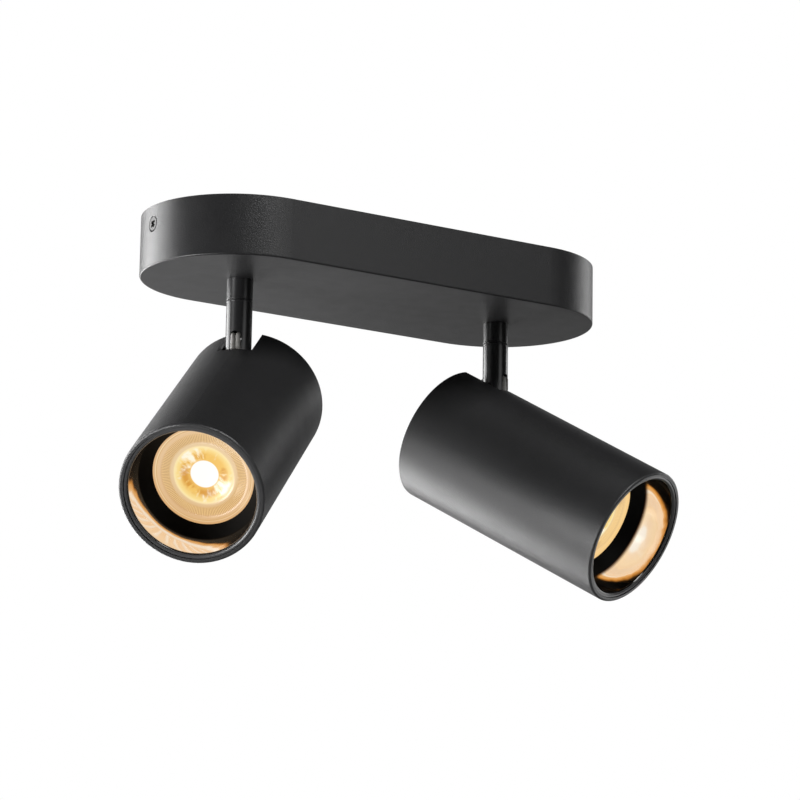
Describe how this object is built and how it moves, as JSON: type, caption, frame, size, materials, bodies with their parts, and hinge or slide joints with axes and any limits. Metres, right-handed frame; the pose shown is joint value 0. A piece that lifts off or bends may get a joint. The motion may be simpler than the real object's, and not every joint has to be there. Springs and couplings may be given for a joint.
{
  "type": "twin spotlight",
  "caption": "Ceiling or wall spotlight: a long round-ended canopy with short swivelling stems, each carrying a tilting tubular head with a recessed reflector lamp.",
  "frame": {"origin": "middle of the ceiling plane, between the bracket's two slots", "axes": "+Z into the ceiling, +X along the canopy, -Y the side that the heads face"},
  "size_m": [0.274, 0.1299, 0.1652],
  "materials": {
    "canopy_coat": "fine-texture black powder coat on pressed steel",
    "head_coat": "fine-texture black powder coat on aluminium tube",
    "stem_lacquer": "satin black lacquer on turned steel",
    "glare_black": "gloss black moulding with a dark-chromed cone",
    "black_plastic": "moulded nylon",
    "zinc_plate": "bright zinc plate",
    "zinc_cast": "as-cast alloy",
    "screw_black": "black oxide",
    "spring_steel": "spring steel",
    "brass": "turned brass",
    "terminal_white": "moulded polyamide",
    "lead_grey": "light grey silicone sleeve",
    "earth_green": "green-yellow sleeve",
    "ceramic": "unglazed steatite",
    "lamp_white": "moulded lamp body",
    "lens_clear": "clear moulded optic, lit warm",
    "led_board": "lit chip on a white board"
  },
  "bodies": {
    "canopy": {"canopy_cover": "canopy_coat", "ceiling_bracket": "zinc_plate", "canopy_screws": "screw_black", "terminal_block": "terminal_white", "terminal_screws": "brass", "terminal_block_screw": "zinc_plate", "earth_screw": "brass", "earth_lead": "earth_green", "canopy_leads_left": "lead_grey", "stem_collar_left": "stem_lacquer", "collar_washer_left": "spring_steel", "collar_nut_left": "zinc_plate", "stop_pin_left": "spring_steel", "canopy_leads_right": "lead_grey", "stem_collar_right": "stem_lacquer", "collar_washer_right": "spring_steel", "collar_nut_right": "zinc_plate", "stop_pin_right": "spring_steel"},
    "stem_left": {"swivel_stem_left": "stem_lacquer", "swivel_washer_left": "black_plastic", "friction_washer_left": "spring_steel", "retaining_clip_left": "spring_steel", "pivot_pin_left": "screw_black", "lamp_leads_left": "lead_grey"},
    "head_left": {"head_tube_left": "head_coat", "rear_cap_left": "black_plastic", "cap_screws_left": "screw_black", "tilt_bracket_left": "zinc_cast", "holder_bracket_left": "zinc_plate", "holder_screws_left": "zinc_plate", "lamp_holder_left": "ceramic", "lamp_body_left": "lamp_white", "lamp_pins_left": "brass", "lamp_led_left": "led_board", "lamp_lens_left": "lens_clear", "glare_ring_left": "glare_black"},
    "stem_right": {"swivel_stem_right": "stem_lacquer", "swivel_washer_right": "black_plastic", "friction_washer_right": "spring_steel", "retaining_clip_right": "spring_steel", "pivot_pin_right": "screw_black", "lamp_leads_right": "lead_grey"},
    "head_right": {"head_tube_right": "head_coat", "rear_cap_right": "black_plastic", "cap_screws_right": "screw_black", "tilt_bracket_right": "zinc_cast", "holder_bracket_right": "zinc_plate", "holder_screws_right": "zinc_plate", "lamp_holder_right": "ceramic", "lamp_body_right": "lamp_white", "lamp_pins_right": "brass", "lamp_led_right": "led_board", "lamp_lens_right": "lens_clear", "glare_ring_right": "glare_black"}
  },
  "joints": [
    {"name": "swivel_left", "type": "hinge", "parent": "canopy", "child": "stem_left", "pos_m": [-0.0688, 0, -0.0275], "axis": [0, 0, 1], "range_deg": [-115, 205], "deforming": ["canopy_leads_left"]},
    {"name": "tilt_left", "type": "hinge", "parent": "stem_left", "child": "head_left", "pos_m": [-0.0688, 0, -0.0583], "axis": [-0.7071, 0.7071, 0], "range_deg": [-56.8, 33.2], "deforming": ["lamp_leads_left"]},
    {"name": "swivel_right", "type": "hinge", "parent": "canopy", "child": "stem_right", "pos_m": [0.0688, 0, -0.0275], "axis": [0, 0, 1], "range_deg": [-187.6, 132.4], "deforming": ["canopy_leads_right"]},
    {"name": "tilt_right", "type": "hinge", "parent": "stem_right", "child": "head_right", "pos_m": [0.0688, 0, -0.0583], "axis": [-0.8862, -0.4633, 0], "range_deg": [-60.2, 29.8], "deforming": ["lamp_leads_right"]}
  ]
}
